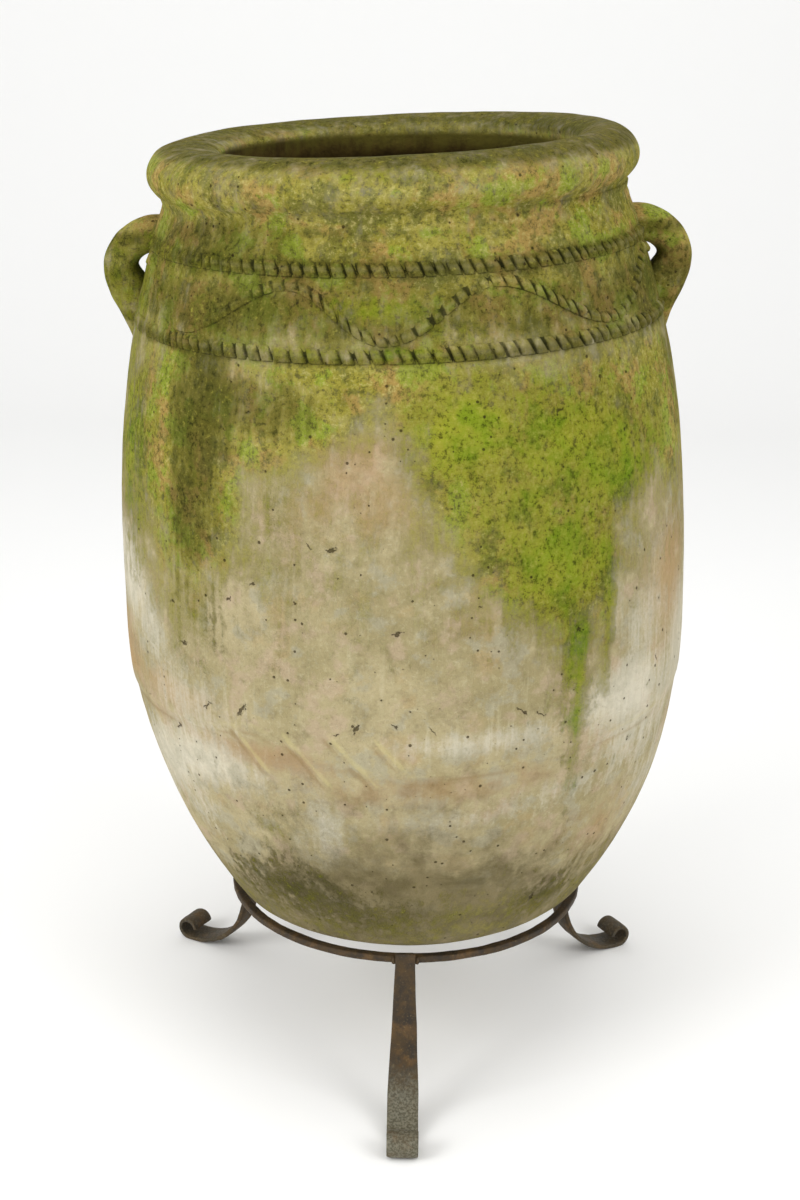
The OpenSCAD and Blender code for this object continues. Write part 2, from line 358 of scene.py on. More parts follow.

# What years outdoors left on the clay, with some painted light and shade, each kind as soft
# patches:
# azimuth from the front, height, half the width in degrees, half the height, and strength.
patches = {
    # A thin yellow-olive stain of algae, over the whole shoulder and in wide runs below it.
    "stain": [
        (0, 915, 400, 92, 1.0), (0, 650, 400, 110, 0.3), (0, 225, 400, 50, 0.42),
        (-66, 745, 22, 112, 0.78), (-15, 785, 13, 34, 0.9), (-50, 760, 12, 110, 0.9),
        (-43, 725, 13, 135, 0.95),
        (-27, 775, 11, 62, 0.8), (-46, 590, 10, 78, 0.5), (-33, 690, 8, 70, 0.5),
        (36, 752, 30, 92, 1.0), (29, 640, 15, 80, 0.95), (14, 740, 13, 82, 1.0),
        (22, 655, 12, 56, 0.9), (5, 800, 9, 40, 0.9),
        (66, 748, 14, 80, 0.95), (-8, 822, 26, 24, 0.95), (44, 650, 8, 60, 0.45),
        (33, 540, 7, 80, 0.6), (41, 560, 2.5, 90, 0.6), (37, 600, 8, 60, 0.5),
        (-17, 745, 7, 50, 0.45), (0, 990, 400, 34, 0.7),
        (-62, 610, 12, 60, 0.3), (76, 690, 12, 60, 0.5), (60, 800, 20, 60, 0.7),
        (92, 800, 18, 110, 0.9), (-96, 760, 18, 120, 0.8), (150, 760, 34, 120, 1.0),
        (-135, 740, 24, 150, 1.0), (178, 700, 14, 150, 0.8), (115, 730, 16, 110, 0.85),
        (-165, 790, 24, 80, 0.9), (-30, 345, 10, 50, 0.3), (165, 520, 7, 110, 0.5),
    ],
    # Bright yellow-green moss, thickest at the right under the band, running down in drips.
    "moss": [
        (38, 745, 20, 56, 0.95), (47, 708, 13, 38, 0.95), (11, 772, 10, 54, 1.0),
        (20, 705, 12, 46, 0.75), (24, 772, 16, 34, 0.7), (28, 622, 12, 60, 0.8),
        (30, 645, 14, 50, 1.0), (34, 530, 4.2, 72, 0.85), (42, 580, 2, 70, 0.7),
        (34, 440, 3, 85, 0.62), (41, 620, 4, 60, 0.5),
        (60, 738, 12, 34, 0.6), (-68, 715, 13, 96, 0.85), (-52, 800, 12, 28, 0.3),
        (-76, 800, 12, 60, 0.5), (-24, 700, 5, 60, 0.3), (-6, 882, 13, 15, 0.85),
        (-12, 842, 24, 8, 0.7), (8, 826, 12, 14, 0.5), (34, 806, 22, 14, 0.4),
        (-55, 900, 22, 40, 0.45), (-80, 870, 12, 70, 0.62), (12, 860, 12, 10, 0.5),
        (22, 928, 18, 9, 0.3), (-44, 560, 4, 70, 0.3), (-96, 905, 20, 46, 0.4),
        (96, 905, 14, 30, 0.4), (150, 730, 30, 80, 0.8), (-140, 700, 20, 100, 0.75),
        (178, 640, 9, 80, 0.6), (-112, 720, 12, 90, 0.5), (112, 700, 12, 60, 0.5),
        (165, 520, 4, 90, 0.6), (-2, 1000, 18, 8, 0.55), (-48, 1000, 12, 8, 0.4),
        (40, 1002, 18, 8, 0.35), (-30, 285, 12, 38, 0.2),
    ],
    # Dark olive algae, over the neck and down the left in streaks. The thin rings all round at the
    # heights of the level bands are painted shade where the bands meet the wall.
    "algae_and_band_shade": [
        (0, 900, 400, 46, 0.34), (0, 874, 400, 30, 0.55), (0, 917, 400, 9, 0.7),
        (0, 838, 400, 8, 0.65), (-42, 780, 10, 74, 0.9), (-43, 690, 8, 66, 0.75),
        (-46, 610, 5, 80, 0.38), (-38, 590, 4, 60, 0.4), (-28, 880, 24, 28, 0.35),
        (-44, 930, 26, 28, 0.62), (66, 862, 14, 40, 0.62), (78, 800, 9, 90, 0.6),
        (28, 800, 16, 18, 0.35), (24, 745, 10, 22, 0.35), (-25, 792, 15, 32, 0.75),
        (-72, 920, 14, 30, 0.35), (66, 780, 7, 40, 0.3), (0, 1014, 400, 12, 0.95),
        (-8, 905, 16, 16, 0.3), (30, 858, 26, 12, 0.3), (-52, 860, 12, 30, 0.4),
        (-30, 280, 17, 46, 0.52), (-16, 240, 30, 40, 0.5), (-46, 250, 10, 40, 0.4),
        (38, 240, 13, 36, 0.55),
        (130, 760, 14, 100, 0.6), (-165, 790, 20, 70, 0.6), (-125, 620, 6, 120, 0.5),
        (172, 280, 30, 46, 0.5), (-100, 270, 16, 50, 0.4), (105, 830, 12, 60, 0.5),
        (-68, 255, 12, 46, 0.35), (0, 946, 60, 5, 0.4),
    ],
    # Bare tan and orange clay, where nothing grew or the skin was washed away.
    "bare": [
        (-9, 748, 9, 44, 0.75), (-2, 705, 9, 40, 0.6), (-16, 700, 8, 36, 0.5),
        (64, 575, 13, 95, 0.8), (-80, 492, 14, 50, 0.95), (-30, 437, 18, 18, 0.95),
        (-50, 480, 16, 22, 0.7),
        (-2, 410, 22, 22, 0.62), (20, 412, 16, 20, 0.5), (-58, 470, 10, 40, 0.4),
        (20, 722, 9, 20, 0.7), (28, 700, 8, 16, 0.5), (-14, 938, 18, 16, 0.75),
        (28, 905, 12, 12, 0.5), (66, 935, 16, 26, 0.75), (0, 972, 400, 9, 0.6),
        (-50, 980, 24, 10, 0.7), (-20, 868, 10, 9, 0.5), (32, 872, 14, 12, 0.5),
        (46, 826, 14, 12, 0.5), (12, 560, 12, 60, 0.25), (90, 850, 10, 60, 0.4),
        (-40, 908, 12, 16, 0.4), (0, 300, 26, 60, 0.35), (50, 320, 20, 60, 0.45),
        (80, 420, 14, 60, 0.5), (-8, 815, 14, 14, 0.4), (42, 945, 14, 12, 0.5),
        (36, 985, 20, 8, 0.4), (140, 580, 22, 60, 0.6), (-155, 560, 26, 50, 0.55),
        (-120, 440, 18, 40, 0.7), (-30, 832, 30, 6, 0.3),
    ],
    # Pale lime that hard water left, thick below the seam and in a line under the lower band. The
    # patches at the far left edge are partly painted light, for the brightness of that side, and
    # the streak on the front of the roll is a painted highlight.
    "lime_and_highlight": [
        (-46, 412, 20, 34, 0.8), (-67, 720, 11, 84, 0.4), (-47, 470, 16, 40, 0.5),
        (54, 425, 16, 50, 0.6), (54, 545, 10, 50, 0.5),
        (-92, 900, 14, 44, 0.8), (-62, 385, 14, 44, 0.7), (48, 478, 15, 40, 0.85),
        (14, 462, 18, 16, 0.6), (6, 372, 18, 16, 0.4), (-52, 345, 9, 40, 0.5),
        (-17, 350, 5, 60, 0.6), (-24, 330, 3, 40, 0.45), (72, 490, 12, 80, 0.7),
        (-72, 585, 14, 52, 0.95), (-60, 540, 10, 40, 0.55), (4, 829.5, 33, 3, 0.8),
        (6, 986, 22, 7, 0.95), (58, 620, 6, 60, 0.35), (-23, 896, 4.5, 9, 0.85),
        (56, 842, 9, 8, 0.45), (-98, 845, 12, 32, 0.9), (98, 850, 10, 40, 0.5),
        (43, 590, 4, 60, 0.5), (32, 385, 18, 24, 0.4), (-48, 508, 8, 30, 0.35),
        (84, 560, 10, 60, 0.5), (160, 440, 30, 40, 0.7), (-150, 410, 30, 40, 0.7),
        (-70, 345, 10, 60, 0.5), (68, 350, 16, 60, 0.5), (-80, 620, 10, 30, 0.5),
    ],
    # Grey-brown dirt splashed up from the ground. Round the foot, where the jar faces down, it is
    # partly painted shade.
    "dirt_and_low_shade": [
        (0, 196, 400, 84, 0.95), (-6, 262, 44, 72, 1.0), (2, 315, 26, 62, 0.6),
        (20, 995, 60, 34, 0.35), (50, 960, 40, 26, 0.5), (-30, 385, 26, 50, 0.4),
        (8, 400, 20, 40, 0.4),
        (-26, 300, 16, 56, 0.6), (30, 285, 18, 60, 0.55), (-2, 355, 10, 40, 0.4),
        (160, 270, 60, 70, 0.7), (-10, 400, 10, 20, 0.25), (60, 260, 20, 50, 0.3),
    ],
}  # fmt: skip


def settle(piece, node):
    """Paints the weathering, with its painted light and shade, on a piece of the jar, stands it in
    its seat, and lets it move with the jar.
    """
    spots = points_of(piece)
    azimuth = np.degrees(np.arctan2(spots[:, 0], -spots[:, 1]))
    radius = np.hypot(spots[:, 0], spots[:, 1])
    for name, places in patches.items():
        strength = np.zeros(len(spots))
        for patch_azimuth, patch_z, half_turn, half_height, most in places:
            turn = (azimuth - patch_azimuth + 180) % 360 - 180
            turn = np.where(half_turn > 180, 0, turn) / half_turn
            rise = (spots[:, 2] - patch_z) / half_height
            part = most * np.exp(-((turn**2 + rise**2) ** 1.25))
            strength = np.maximum(strength, part) + 0.35 * np.minimum(strength, part)
        if name == "lime_and_highlight":
            # Lime also rims the mouth and the crown of the roll.
            on_top = ramp(spots[:, 2], 994, 1000)
            strength += 0.6 * on_top * np.exp(-(((radius - 187) / 2.5) ** 2))
            strength += 0.4 * on_top * np.exp(-(((radius - 212) / 6) ** 2))
        layer = piece.data.attributes.new(name, "FLOAT", "POINT")
        layer.data.foreach_set("value", np.clip(strength, 0, 1.2).astype(np.float32))
    within = radius < wall_r(spots[:, 2]) - wall / 2
    mouth_wall = within * ramp(spots[:, 2], 1004, 990)
    inner = np.where(spots[:, 2] > neck_z, mouth_wall, within & (spots[:, 2] > base_z + 5))
    layer = piece.data.attributes.new("inside", "FLOAT", "POINT")
    layer.data.foreach_set("value", inner.astype(np.float32))
    piece.data.transform(seat)
    piece.data.materials.append(clay)
    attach(piece, "jar")
    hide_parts(node)


# Weathered low-fired terracotta: a dry, open, matt clay, cream where its skin is whole, that
# drinks light and has almost no gloss. Moss and algae on it are soft and matt as well.
clay = bpy.data.materials.new("weathered low-fired terracotta")
clay.use_nodes = True
tree = clay.node_tree
shader = tree.nodes["Principled BSDF"]
place = add(tree, "ShaderNodeTexCoord").outputs["Object"]
upright = add(
    tree, "ShaderNodeMapping", {"Vector": place, "Scale": (1, 1, 0.07)}
).outputs["Vector"]
# Clouds of growth 24 mm across, broad changes of colour 110 mm across, flecks of 4.5 mm, and
# runs of water 8 mm wide and 0.1 m long. Below come patches of 40 to 48 mm, and gaps of 6 mm
# between tufts.
clouds, broad, flecks, runs = [
    add(
        tree, "ShaderNodeTexNoise",
        {"Vector": where, "Scale": 1 / (size * MM), "Detail": detail, "Roughness": rough},
    ).outputs[0]
    for where, size, detail, rough in [
        (place, 24, 6, 0.66), (place, 110, 4, 0.6), (place, 4.5, 3, 0.7), (upright, 8, 4, 0.6),
    ]
]  # fmt: skip


def blend(tree, share, below, above):
    """Lays one colour over another."""
    return add(
        tree, "ShaderNodeMix", {0: share, 6: below, 7: above}, data_type="RGBA"
    ).outputs[2]


def between(tree, value, start, end, low=0.0, high=1.0):
    """Rises smoothly from low to high as the value goes from start to end."""
    return add(
        tree, "ShaderNodeMapRange",
        {"Value": value, "From Min": start, "From Max": end, "To Min": low, "To Max": high},
        interpolation_type="SMOOTHSTEP",
    ).outputs[0]  # fmt: skip


def sum_of(tree, value, parts):
    """Adds to a value each pattern times its share, with each pattern's middle taken as zero."""
    for pattern, share in parts:
        value = add(
            tree, "ShaderNodeMath", {0: pattern, 1: share, 2: value}, operation="MULTIPLY_ADD"
        ).outputs[0]
        value = add(
            tree, "ShaderNodeMath", {0: value, 1: share / 2}, operation="SUBTRACT"
        ).outputs[0]
    return value


def coat(below, name, colours, parts, start, end, most, variety):
    """One kind of weathering over the colour below, broken up by the patterns in parts."""
    painted = add(tree, "ShaderNodeAttribute", attribute_name=name).outputs["Fac"]
    share = between(tree, sum_of(tree, painted, parts), start, end, 0.0, most)
    colour = blend(
        tree, between(tree, variety, 0.38, 0.62), linear(colours[0]), linear(colours[1])
    )
    return blend(tree, share, below, colour), share


patchy = add(
    tree, "ShaderNodeTexNoise",
    {"Vector": place, "Scale": 1 / (48 * MM), "Detail": 5, "Roughness": 0.62, "Distortion": 0.4},
).outputs[0]  # fmt: skip
second_place = add(
    tree, "ShaderNodeVectorMath", {0: place, 1: (3.1, 1.7, 0.9)}, operation="ADD"
).outputs[0]
patchy_2, gaps = [
    add(
        tree, "ShaderNodeTexNoise",
        {"Vector": second_place, "Scale": 1 / (size * MM), "Detail": detail, "Roughness": rough},
    ).outputs[0]
    for size, detail, rough in [(40, 5, 0.65), (6, 6, 0.82)]
]  # fmt: skip


def tint(below, pattern, start, end, most, colour):
    """Lets a pattern lay one plain colour over the colour below."""
    return blend(tree, between(tree, pattern, start, end, 0.0, most), below, linear(colour))


skin = blend(tree, between(tree, broad, 0.4, 0.62), linear("#a0946c"), linear("#b3a680"))
skin = tint(skin, clouds, 0.5, 0.68, 0.6, "#8d8260")
skin = tint(skin, clouds, 0.47, 0.3, 0.35, "#c5b891")
skin = tint(skin, runs, 0.52, 0.7, 0.4, "#c3b996")
skin = tint(skin, patchy, 0.54, 0.68, 0.45, "#b59d70")
skin = tint(skin, patchy_2, 0.53, 0.64, 0.55, "#bba58c")
skin = tint(skin, patchy_2, 0.47, 0.38, 0.5, "#a8a48f")
skin = tint(skin, gaps, 0.44, 0.3, 0.35, "#80734f")
skin = tint(skin, gaps, 0.55, 0.7, 0.45, "#d3c9a8")
skin = tint(skin, flecks, 0.54, 0.7, 0.2, "#d3caac")
skin = tint(skin, flecks, 0.46, 0.3, 0.25, "#83765a")
skin, _ = coat(
    skin, "bare", ("#b8966a", "#a68a66"), [(clouds, 1.3), (runs, 0.8), (flecks, 0.4)],
    0.15, 1.0, 0.75, broad,
)  # fmt: skip
# Lime, with a painted highlight on the roll and painted light at the far left among its patches.
skin, _ = coat(
    skin, "lime_and_highlight", ("#dad3bf", "#c6c0aa"), [(clouds, 1.1), (runs, 0.9), (flecks, 0.4)],
    0.15, 0.9, 0.88, clouds,
)  # fmt: skip
# Dirt, partly painted shade round the foot.
skin, _ = coat(
    skin, "dirt_and_low_shade", ("#5f5638", "#7d7252"), [(clouds, 1.2), (runs, 0.6), (gaps, 0.5)],
    0.15, 1.2, 0.9, patchy,
)  # fmt: skip
# The stain is tan in places, dark green where it is damp, yellow-green between, and pale
# straw-green where it thins out.
stained = blend(tree, between(tree, broad, 0.4, 0.6), linear("#a19a33"), linear("#b5aa48"))
stained = tint(stained, patchy, 0.5, 0.6, 0.75, "#bf9857")
stained = tint(stained, patchy_2, 0.51, 0.6, 0.75, "#95ae2a")
stained = tint(stained, patchy_2, 0.48, 0.4, 0.7, "#6f7228")
stained = tint(stained, gaps, 0.5, 0.38, 0.7, "#565423")
stained = tint(stained, gaps, 0.53, 0.64, 0.75, "#d5c987")
painted_stain = add(tree, "ShaderNodeAttribute", attribute_name="stain").outputs["Fac"]
stained = tint(stained, painted_stain, 0.95, 0.45, 0.9, "#b4ab58")
stain_share = between(
    tree, sum_of(tree, painted_stain, [(clouds, 1.2), (runs, 1.1), (gaps, 0.8)]), 0.2, 1.0, 0, 0.92
)
skin = blend(tree, stain_share, skin, stained)
skin, algae_and_band_shade_share = coat(
    skin, "algae_and_band_shade", ("#5f5e20", "#7d752e"), [(clouds, 1.3), (runs, 0.9), (gaps, 1.0)],
    0.3, 1.05, 0.85, patchy,
)  # fmt: skip
skin, moss_share = coat(
    skin, "moss", ("#9aae1c", "#c9c53a"), [(clouds, 1.4), (runs, 1.1), (gaps, 1.1)],
    0.3, 1.15, 0.6, patchy_2,
)  # fmt: skip
# The thickest moss is a fresher green.
painted_moss = add(tree, "ShaderNodeAttribute", attribute_name="moss").outputs["Fac"]
fresh = between(
    tree, sum_of(tree, painted_moss, [(clouds, 2.0), (patchy, 2.4), (runs, 0.8)]), 0.7, 1.6, 0, 0.55
)
skin = blend(tree, fresh, skin, linear("#74a20a"))
growth = add(
    tree, "ShaderNodeMath", {0: algae_and_band_shade_share, 1: moss_share}, operation="MAXIMUM"
).outputs[0]
growth = add(
    tree, "ShaderNodeMath", {0: stain_share, 1: 0.5, 2: growth}, operation="MULTIPLY_ADD"
).outputs[0]
gap_share = add(
    tree, "ShaderNodeMath",
    {0: between(tree, gaps, 0.49, 0.37, 0, 0.75), 1: growth}, operation="MULTIPLY",
).outputs[0]  # fmt: skip
skin = blend(tree, gap_share, skin, linear("#3b3e0f"))
dry_share = add(
    tree, "ShaderNodeMath",
    {0: between(tree, gaps, 0.54, 0.68, 0, 0.6), 1: growth}, operation="MULTIPLY",
).outputs[0]  # fmt: skip
skin = blend(tree, dry_share, skin, linear("#cbc44c"))

# The lip of the seam and the crests of its folds get a painted highlight, with a painted shadow
# just below them; the beads of the rope bands get a painted highlight too.
crest = add(tree, "ShaderNodeAttribute", attribute_name="crest").outputs["Fac"]
skin = tint(skin, crest, 0.1, 0.8, 0.4, "#cfc48c")
skin = tint(skin, crest, -0.15, -0.8, 0.5, "#8d754c")

# Pinholes, 1 to 2 mm across, where grit or straw fell out of the clay.
pin_cells = add(
    tree, "ShaderNodeTexVoronoi",
    {"Vector": place, "Scale": 1 / (7 * MM), "Randomness": 1.0},
)  # fmt: skip
pin_pick = add(
    tree, "ShaderNodeSeparateColor", {"Color": pin_cells.outputs["Color"]}
).outputs[0]
pin_zone = between(tree, patchy, 0.44, 0.56, 0.3, 1.0)
pin_size = add(
    tree, "ShaderNodeMath",
    {0: between(tree, pin_pick, 0.66, 1.0, 0.0, 0.24), 1: pin_zone}, operation="MULTIPLY",
).outputs[0]  # fmt: skip
pin_share = between(
    tree,
    add(
        tree, "ShaderNodeMath",
        {0: pin_size, 1: pin_cells.outputs["Distance"]}, operation="SUBTRACT",
    ).outputs[0],
    -0.02, 0.05,
)  # fmt: skip

# The chips and cracks, each an uneven slot of painted shade at its own place on the wall.
ragged = add(
    tree, "ShaderNodeTexNoise", {"Vector": place, "Scale": 1 / (4 * MM), "Detail": 4}
).outputs["Color"]
ragged = add(
    tree, "ShaderNodeVectorMath", {0: ragged, 1: (0.5, 0.5, 0.5)}, operation="SUBTRACT"
).outputs[0]
ragged = add(
    tree, "ShaderNodeVectorMath",
    {0: ragged, 1: (11 * MM, 11 * MM, 11 * MM), 2: place}, operation="MULTIPLY_ADD",
).outputs[0]  # fmt: skip
# The share of a chip's length and width that its dark slot fills.
slot_long = 0.42
slot_wide = 0.36
nearest = None
for chip_azimuth, chip_z, chip_length, chip_width, chip_lean, _ in chips:
    turn = math.radians(chip_azimuth)
    out = float(wall_r(chip_z))
    middle = seat @ Vector(
        (out * math.sin(turn) * MM, -out * math.cos(turn) * MM, chip_z * MM)
    )
    spin = Matrix.Rotation(turn, 3, "Z") @ Matrix.Rotation(-math.radians(chip_lean), 3, "Y")
    slot_place = add(
        tree, "ShaderNodeMapping",
        {
            "Vector": ragged, "Location": middle, "Rotation": spin.to_euler(),
            "Scale": (chip_length * slot_long * MM, 20 * MM, chip_width * slot_wide * MM),
        },
        vector_type="TEXTURE",
    ).outputs[0]  # fmt: skip
    far = add(tree, "ShaderNodeVectorMath", {0: slot_place}, operation="LENGTH").outputs["Value"]
    nearest = (
        far
        if nearest is None
        else add(tree, "ShaderNodeMath", {0: far, 1: nearest}, operation="MINIMUM").outputs[0]
    )
chip_share = between(tree, nearest, 1.0, 0.45)
hole_share = add(
    tree, "ShaderNodeMath", {0: pin_share, 1: chip_share}, operation="MAXIMUM"
).outputs[0]
# The chips, cracks and pinholes are painted dark, as shade in their hollows.
hole_shade = add(tree, "ShaderNodeMath", {0: hole_share, 1: 0.8}, operation="MULTIPLY").outputs[0]
skin = blend(tree, hole_shade, skin, linear("#41361d"))

# The nicks in the rope bands hold dirt and dark moss, and a painted shadow line runs along the
# lower edge of each band, fainter along its upper edge.
nick_dirt_and_edge_shadow = add(tree, "ShaderNodeAttribute", attribute_name="nick_dirt_and_edge_shadow").outputs["Fac"]
nick_dirt_and_shadow_share = between(tree, sum_of(tree, nick_dirt_and_edge_shadow, [(flecks, 0.8)]), 0.25, 0.8, 0, 0.85)
skin = blend(tree, nick_dirt_and_shadow_share, skin, linear("#33351a"))

# Inside, the clay is painted dark, brown low down and olive near the mouth.
inside = add(tree, "ShaderNodeAttribute", attribute_name="inside").outputs["Fac"]
height_up = add(tree, "ShaderNodeSeparateXYZ", {"Vector": place}).outputs["Z"]
inside_colour = blend(tree, between(tree, clouds, 0.35, 0.65), linear("#3f3216"), linear("#55461f"))
inside_colour = blend(
    tree,
    between(tree, sum_of(tree, height_up, [(clouds, 0.03), (runs, 0.03)]), 0.975, 0.995, 0, 0.7),
    inside_colour, linear("#5f5a22"),
)  # fmt: skip
skin = blend(tree, between(tree, inside, 0.1, 0.9), skin, inside_colour)

grain_height = sum_of(
    tree, 0.0, [(clouds, 1.3), (flecks, 0.6), (gaps, 1.0), (runs, 0.3)]
)
moss_height = add(
    tree, "ShaderNodeMath", {0: growth, 1: gaps}, operation="MULTIPLY"
).outputs[0]
relief = add(
    tree, "ShaderNodeMath", {0: moss_height, 1: 2.6, 2: grain_height}, operation="MULTIPLY_ADD"
).outputs[0]
relief = add(
    tree, "ShaderNodeMath", {0: hole_share, 1: -2.6, 2: relief}, operation="MULTIPLY_ADD"
).outputs[0]
bumps = add(
    tree, "ShaderNodeBump", {"Height": relief, "Distance": 2.4 * MM, "Strength": 1.0}
)
tree.links.new(skin, shader.inputs["Base Color"])
tree.links.new(bumps.outputs["Normal"], shader.inputs["Normal"])
shader.inputs["Roughness"].default_value = 0.92
shader.inputs["IOR"].default_value = 1.45
shader.inputs["Specular IOR Level"].default_value = 0.08

settle(body, "jar_body")

# ---------------------------------------------------------------------------------------------
# The rolled rim: a fat coil of the same clay laid on the neck and smoothed by hand. It is not
# quite round or level, and the mouth is off its middle.
rim_r = 252.0
rim_top_z = 1014.0
rim_roll = 34.0
rim_rise = 28.0
mouth_r = 183.0
throat_z = (985.0, 1000.0)
rim_tilt = 1.1
rim_shift = 2.0
mouth_shift = 5.0
rim_middle = (rim_r - rim_roll, rim_top_z - rim_rise)
neck_inside = float(wall_r(neck_z - 15, wall))
rim_outline = [
    (224.0, neck_z - 4), (231.0, neck_z - 5), (236.5, neck_z - 4), (238.3, neck_z + 2)
]  # fmt: skip
rim_outline += arc_points(rim_middle, (rim_roll, rim_rise), -50, 90, 44)
rim_outline += arc_points(
    (rim_middle[0], throat_z[1]),
    (rim_middle[0] - mouth_r, rim_top_z - throat_z[1]),
    90, 180, 22,
)[1:]  # fmt: skip
rim_outline += [(mouth_r, z) for z in (996.0, 992.0, 988.0, throat_z[0])]
rim_outline += arc_points(
    (neck_inside, throat_z[0]),
    (neck_inside - mouth_r, throat_z[0] - neck_z - 2),
    180, 270, 12,
)[1:]  # fmt: skip
rim_outline += [(neck_inside + 2, neck_z - 3), rim_outline[0]]
rim = turned("clay_rim", rim_outline, 720)
spots = points_of(rim)
radius = np.hypot(spots[:, 0], spots[:, 1])
azimuth = np.degrees(np.arctan2(spots[:, 0], -spots[:, 1]))
away = np.column_stack([spots[:, 0], spots[:, 1], np.zeros(len(spots))]) / radius[:, None]
held = ramp(spots[:, 2], neck_z, neck_z + 14)
swell = 1.7 * lumps(spots, 120, 11) + 0.9 * lumps(spots, 45, 12) + 0.35 * lumps(spots, 16, 13)
swell += 0.8 * np.sin(np.radians(2 * azimuth + 40))
spots += away * (swell * held)[:, None]
spots[:, 2] += held * (1.3 * lumps(spots, 95, 14) + 0.5 * lumps(spots, 30, 15))
spots[:, 2] += held * 2.0 * np.exp(-(((azimuth - 105) / 30) ** 2))
mouthward = ramp(radius, 232, 192)
spots[:, 0] += mouth_shift * mouthward - rim_shift * (1 - mouthward)
put_points(rim, spots)
rim.data.transform(
    Matrix.Translation((0, 0, neck_z * MM))
    @ Matrix.Rotation(math.radians(-rim_tilt), 4, "Y")
    @ Matrix.Translation((0, 0, -neck_z * MM))
)
settle(rim, "rolled_rim")

# ---------------------------------------------------------------------------------------------
# The rope bands: thin strips of clay pressed on round the shoulder and nicked with the edge of
# a tool, so that each looks like a laid rope. Two are level, and one waves between them.
band_w = 15.0
wave_w = 12.0
wave_count = 7
wave_middle_z = (upper_band_z + lower_band_z) / 2
wave_height = 24.0
half_reach = 83.0
face_share = 0.75
# How deep a strip's back lies in the wall, and the plain end of a strip, with no nicks.
band_root = 5.0
plain_end = 6.0


def swept(name, along, around, shape):
    """A closed bar bent out of a flat grid. shape gives its points for u along and v round it."""
    bpy.ops.object.select_all(action="DESELECT")
    bpy.ops.mesh.primitive_grid_add(x_subdivisions=along, y_subdivisions=around, size=2)
    piece = bpy.context.object
    piece.name = name
    piece.data.name = name
    flat = np.empty(len(piece.data.vertices) * 3)
    piece.data.vertices.foreach_get("co", flat)
    u, v = (flat.reshape(-1, 3)[:, :2].T + 1) / 2
    points, extra = shape(u, v)
    put_points(piece, points)
    for layer_name, values in extra.items():
        layer = piece.data.attributes.new(layer_name, "FLOAT", "POINT")
        layer.data.foreach_set("value", values.astype(np.float32))
    return close_up(piece)


def rope(name, middle_z, slope, width, relief, spacing, nick_depth, seed, worn_from, worn_to):
    """One rope band, as a front half and a back half that stop at the lugs. In front, it grows
    more and more worn between the azimuths worn_from and worn_to."""
    dice = random.Random(seed)
    halves = []
    for half, facing in (("front", 0), ("back", 180)):
        band_r = float(wall_r(wave_middle_z))
        reach_mm = math.radians(half_reach) * band_r
        nicks = []
        at = plain_end - reach_mm
        while at < reach_mm - plain_end:
            worn = ramp(at / reach_mm * half_reach, worn_from, worn_to) if facing == 0 else 0.3
            nick_most = dice.uniform(0.6, 1.0) * (1 - 0.7 * worn)
            nicks.append((at, nick_most, dice.uniform(1.7, 3.2)))
            at += spacing * dice.uniform(0.78, 1.22) * (1 - 0.24 * worn)

        def shape(u, v, facing=facing, nicks=nicks):
            turn = facing + (2 * u - 1) * half_reach
            run = np.radians((2 * u - 1) * half_reach) * band_r
            # v goes up the face first, and the rest of it comes back behind.
            on_face = v <= face_share
            face = np.clip(v / face_share, 0, 1)
            behind = (v - face_share) / (1 - face_share)
            rise = np.where(on_face, -np.cos(np.pi * face), 1 - 2 * behind)
            steep = np.sqrt(1 + slope(turn) ** 2)
            end = np.sqrt(np.clip(1 - (np.abs(2 * u - 1)) ** 60, 0, 1))
            z = middle_z(turn) + rise * width / 2 * steep * (0.3 + 0.7 * end)
            crown = np.sqrt(np.clip(1 - rise**2, 0, 1)) ** 0.8
            cut = np.zeros_like(u)
            for nick_at, nick_most, nick_half in nicks:
                skew = run - nick_at + 0.42 * rise * width / 2 * steep
                narrow = nick_half * (0.8 + 0.25 * rise)
                cut = np.maximum(cut, nick_most * np.exp(-((skew / narrow) ** 4)))
            fade = ramp(turn, worn_from, worn_to) if facing == 0 else 0.3
            body_of_rope = relief * crown * (1 - 0.45 * fade)
            out = np.where(on_face, body_of_rope - band_sink - nick_depth * cut * crown, -band_root)
            out = np.where((u < 1e-6) | (u > 1 - 1e-6), -band_root, out)
            spread = wall_r(z) + out
            angle = np.radians(turn)
            points = np.column_stack([spread * np.sin(angle), -spread * np.cos(angle), z])
            rough = (1.5 + fade) * lumps(points, 9, seed) + 1.2 * lumps(points, 28, seed + 1)
            # A painted shadow line along the lower edge of the band, and a fainter one along its
            # upper edge.
            shade = 0.6 * ramp(rise, -0.5, -0.95) + 0.25 * ramp(rise, 0.7, 0.98)
            lift = np.where((v > 0.02) & (v < face_share - 0.02), rough * crown, 0)
            points[:, 0] += lift * np.sin(angle)
            points[:, 1] -= lift * np.cos(angle)
            # A painted highlight along the top of each bead of the rope, between the nicks.
            bead = 0.45 * (1 - cut) * np.exp(-(((rise - 0.15) / 0.45) ** 2)) * (1 - 0.6 * fade)
            return points, {
                "nick_dirt_and_edge_shadow": np.maximum(cut, shade) * on_face,
                "crest": bead * on_face,
            }

        halves.append(swept(f"{name}_{half}", 850, 16, shape))
    bpy.ops.object.select_all(action="DESELECT")
    for half in halves:
        half.select_set(True)
    bpy.context.view_layer.objects.active = halves[0]
    bpy.ops.object.join()
    halves[0].name = name
    return halves[0]


def level(z):
    """The height and the slope of a level band."""
    return (lambda turn: np.full_like(turn, z)), (lambda turn: np.zeros_like(turn))


